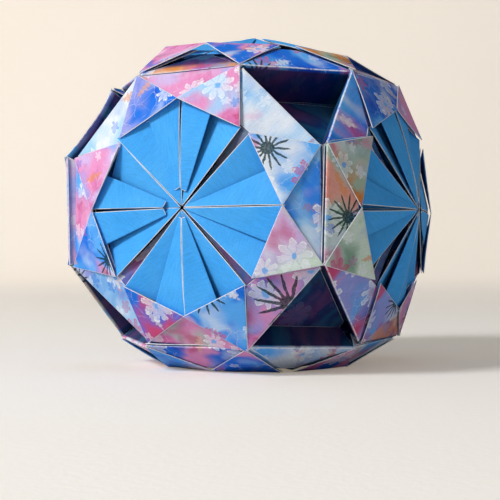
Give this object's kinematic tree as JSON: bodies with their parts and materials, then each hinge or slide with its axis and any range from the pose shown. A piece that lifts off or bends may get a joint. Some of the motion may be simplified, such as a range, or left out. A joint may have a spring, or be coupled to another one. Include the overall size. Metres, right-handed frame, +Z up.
{
  "type": "kusudama paper ball",
  "caption": "Modular origami ball of folded printed paper units tucked into each other, with blue petal rosettes on six faces and three-sided pits at the corners.",
  "frame": {"origin": "middle of the ball's footprint, on the surface that it rests on", "axes": "+Z up, +X to the right face's middle, -Y to the front face's middle"},
  "size_m": [0.0632, 0.0566, 0.0605],
  "materials": {
    "printed_paper": "matt craft paper about 0.24 mm thick, blue on one side and a watercolour print on the other, with white cut edges"
  },
  "bodies": {
    "root": {"unit_front_right": "printed_paper", "unit_right_back": "printed_paper", "unit_back_left": "printed_paper", "unit_left_front": "printed_paper", "unit_front_top": "printed_paper", "unit_back_top": "printed_paper", "unit_front_bottom": "printed_paper", "unit_back_bottom": "printed_paper", "unit_right_top": "printed_paper", "unit_left_top": "printed_paper", "unit_right_bottom": "printed_paper", "unit_left_bottom": "printed_paper"}
  },
  "joints": []
}
